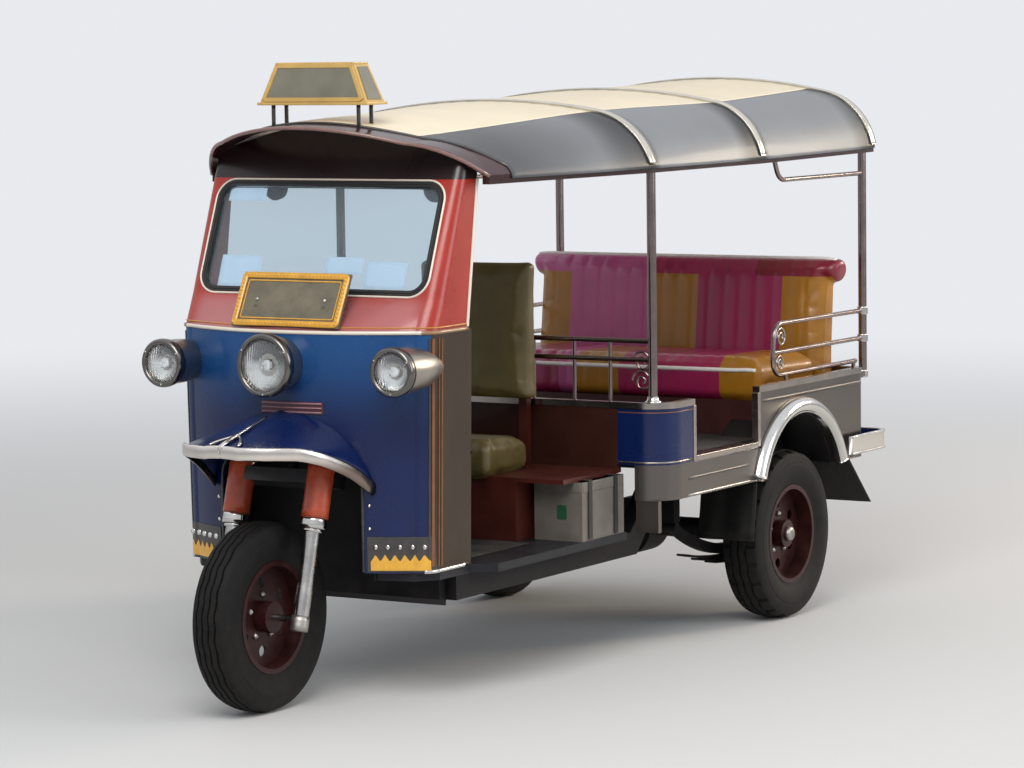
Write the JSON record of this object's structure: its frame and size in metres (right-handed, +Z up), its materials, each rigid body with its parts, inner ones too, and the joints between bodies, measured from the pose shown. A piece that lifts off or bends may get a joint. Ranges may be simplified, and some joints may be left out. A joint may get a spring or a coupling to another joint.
{
  "type": "auto rickshaw",
  "caption": "Three-wheeled passenger auto rickshaw with a curved front cab, steered front wheel, open rear tub with bench seat and a bowed full-length roof.",
  "frame": {"origin": "middle of the bounding box at the ground, under the vehicle's centre plane", "axes": "+Z up, front of the vehicle towards -Y, vehicle's left towards +X"},
  "size_m": [1.36, 3.1499, 1.8918],
  "materials": {
    "black_steel": "satin, dusty",
    "floor_plate": "worn paint on chequer plate",
    "blue_paint": "gloss enamel",
    "stainless": "brushed stainless sheet",
    "red_paint": "gloss enamel",
    "clear_glass": "clear",
    "black_rubber": "matte",
    "chrome": "bright plated",
    "lens_glass": "fluted lens",
    "plate_green": "blank plate with a yellow rim",
    "sign_yellow": "blank lamp box",
    "maroon_paint": "gloss enamel",
    "roof_beige": "smooth vinyl cloth",
    "roof_grey": "smoky clear sheet",
    "dark_vinyl": "padded vinyl",
    "brown_paint": "worn enamel",
    "white_paint": "worn enamel",
    "cast_metal": "oily castings",
    "lamp_red": "ribbed lens",
    "striped_vinyl": "sewn vinyl in magenta, ochre and crimson stripes with white piping",
    "orange_paint": "enamel",
    "tyre_rubber": "matte, ribbed",
    "rim_red": "dusty enamel"
  },
  "bodies": {
    "body": {"chassis_frame": "black_steel", "underbody_tray": "black_steel", "wheel_well": "black_steel", "driver_floor": "floor_plate", "cab_front_panel": "blue_paint", "cab_side_panels": "stainless", "cab_upper_surround": "red_paint", "windscreen_glass": "clear_glass", "windscreen_gasket": "black_rubber", "front_hood": "blue_paint", "hood_lip": "chrome", "headlamp_shells": "chrome", "headlamp_lenses": "lens_glass", "number_plate": "plate_green", "roof_sign": "sign_yellow", "visor_brow": "maroon_paint", "roof_canopy": "roof_beige", "roof_side_panels": "roof_grey", "roof_frame": "chrome", "canopy_posts": "stainless", "dashboard": "dark_vinyl", "cab_mirrors": "black_rubber", "driver_seat_base": "brown_paint", "driver_seat_cushion": "dark_vinyl", "driver_seat_back": "dark_vinyl", "battery_box": "white_paint", "engine_block": "cast_metal", "exhaust": "black_steel", "rear_axle": "black_steel", "leaf_springs": "black_steel", "tub_floor": "floor_plate", "tub_front_panel": "brown_paint", "tub_corner_panels": "blue_paint", "tub_side_panels": "stainless", "tub_rear_panel": "blue_paint", "tub_cap_rail": "chrome", "wheel_housings": "black_steel", "wheel_arch_trims": "chrome", "mud_flaps": "black_rubber", "rear_bumper": "chrome", "tail_lamps": "lamp_red", "passenger_seat_base": "brown_paint", "passenger_seat_cushion": "striped_vinyl", "passenger_seat_back": "striped_vinyl", "partition_rails": "chrome", "passenger_rails": "chrome"},
    "steering": {"front_fork": "orange_paint", "fork_lower_legs": "chrome", "handlebar": "chrome"},
    "front_wheel": {"front_tyre": "tyre_rubber", "front_rim": "rim_red"},
    "rear_wheel_left": {"rear_tyre_left": "tyre_rubber", "rear_rim_left": "rim_red"},
    "rear_wheel_right": {"rear_tyre_right": "tyre_rubber", "rear_rim_right": "rim_red"}
  },
  "joints": [
    {"name": "steering", "type": "hinge", "parent": "body", "child": "steering", "pos_m": [0, -1.24213, 0.26484], "axis": [0, 0.2756, 0.9613], "range_deg": [-35, 35]},
    {"name": "front_wheel_roll", "type": "hinge", "parent": "steering", "child": "front_wheel", "pos_m": [0, -1.295, 0.28], "axis": [1, 0, 0], "continuous": true},
    {"name": "rear_left_roll", "type": "hinge", "parent": "body", "child": "rear_wheel_left", "pos_m": [0.545, 0.957, 0.284], "axis": [1, 0, 0], "continuous": true},
    {"name": "rear_right_roll", "type": "hinge", "parent": "body", "child": "rear_wheel_right", "pos_m": [-0.545, 0.957, 0.284], "axis": [1, 0, 0], "continuous": true}
  ]
}
